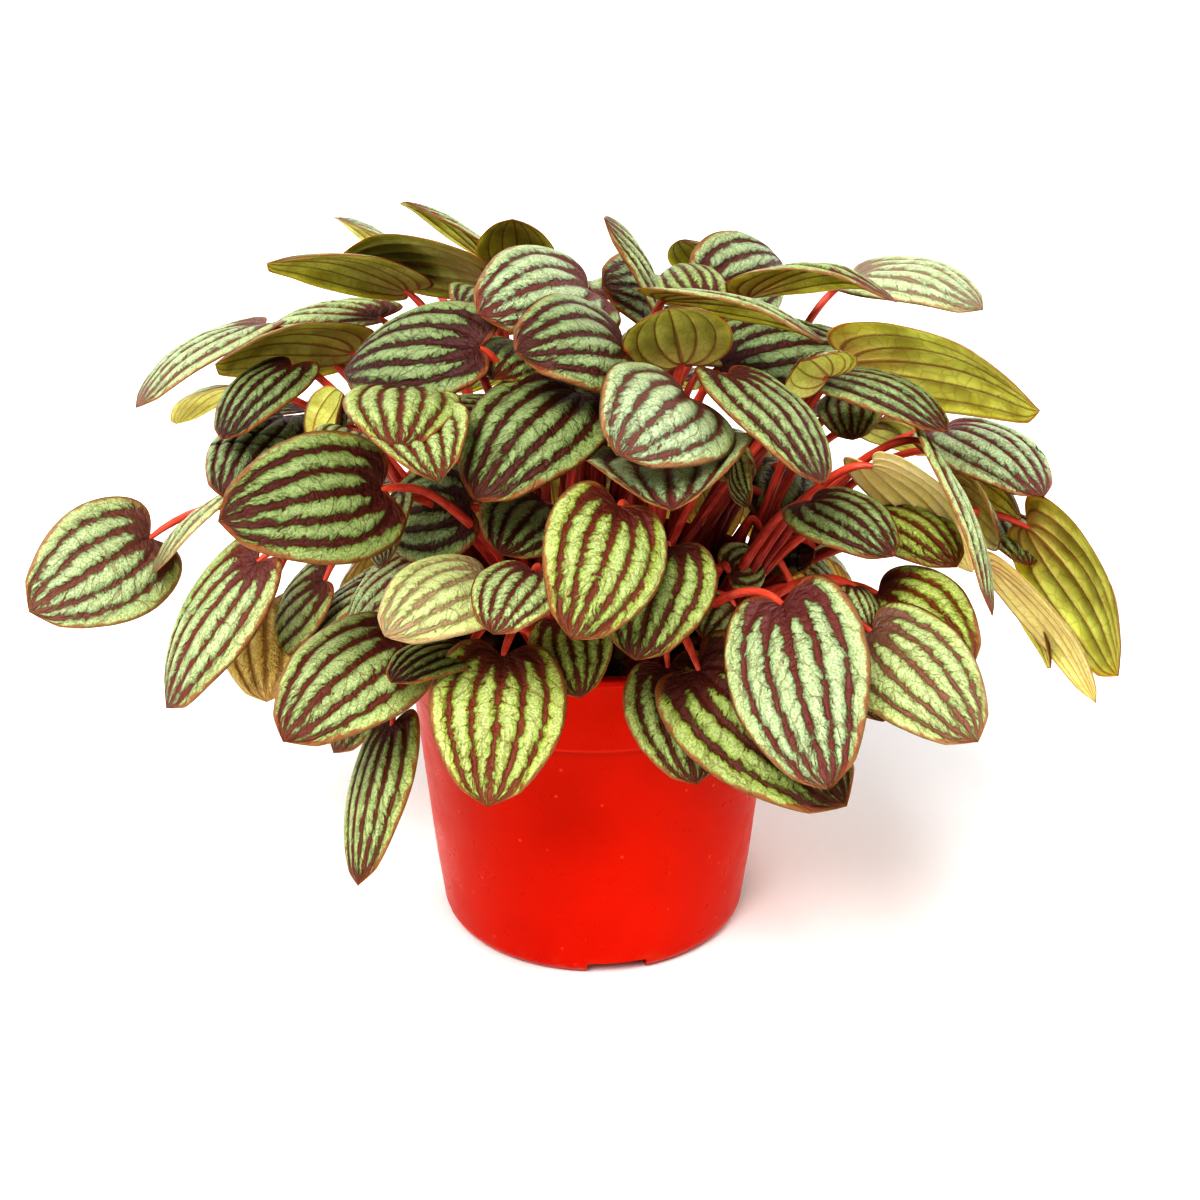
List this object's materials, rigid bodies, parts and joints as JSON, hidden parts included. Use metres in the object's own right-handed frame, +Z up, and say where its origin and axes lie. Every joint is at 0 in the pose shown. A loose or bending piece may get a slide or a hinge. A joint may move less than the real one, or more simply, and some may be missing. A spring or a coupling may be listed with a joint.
{
  "type": "potted peperomia",
  "caption": "Bushy potted peperomia: ribbed heart-shaped leaves, silver-green with dark veins, on red stalks over a tapered round plastic nursery pot.",
  "frame": {"origin": "centre of the pot's foot, on the surface that it stands on", "axes": "+Z up along the pot's axis, -Y the plant's best side, +X to the right seen from that side"},
  "size_m": [0.3142, 0.2446, 0.2194],
  "materials": {
    "pot": "semi-gloss, lightly scuffed",
    "soil": "matt, crumbly potting soil",
    "leaf": "satin leaf, silver-green between dark sunken veins",
    "stalk": "smooth, fleshy, slightly translucent"
  },
  "bodies": {
    "root": {"pot": "pot", "soil": "soil", "leafy_stem_01": "leaf", "leafy_stem_02": "leaf", "leafy_stem_03": "leaf", "leafy_stem_04": "leaf", "leafy_stem_05": "leaf", "leafy_stem_06": "leaf", "leafy_stem_07": "leaf", "leafy_stem_08": "leaf", "leafy_stem_09": "leaf", "leafy_stem_10": "leaf", "leafy_stem_11": "leaf", "leafy_stem_12": "leaf", "leafy_stem_13": "leaf", "leafy_stem_14": "leaf", "leafy_stem_15": "leaf"}
  },
  "joints": []
}
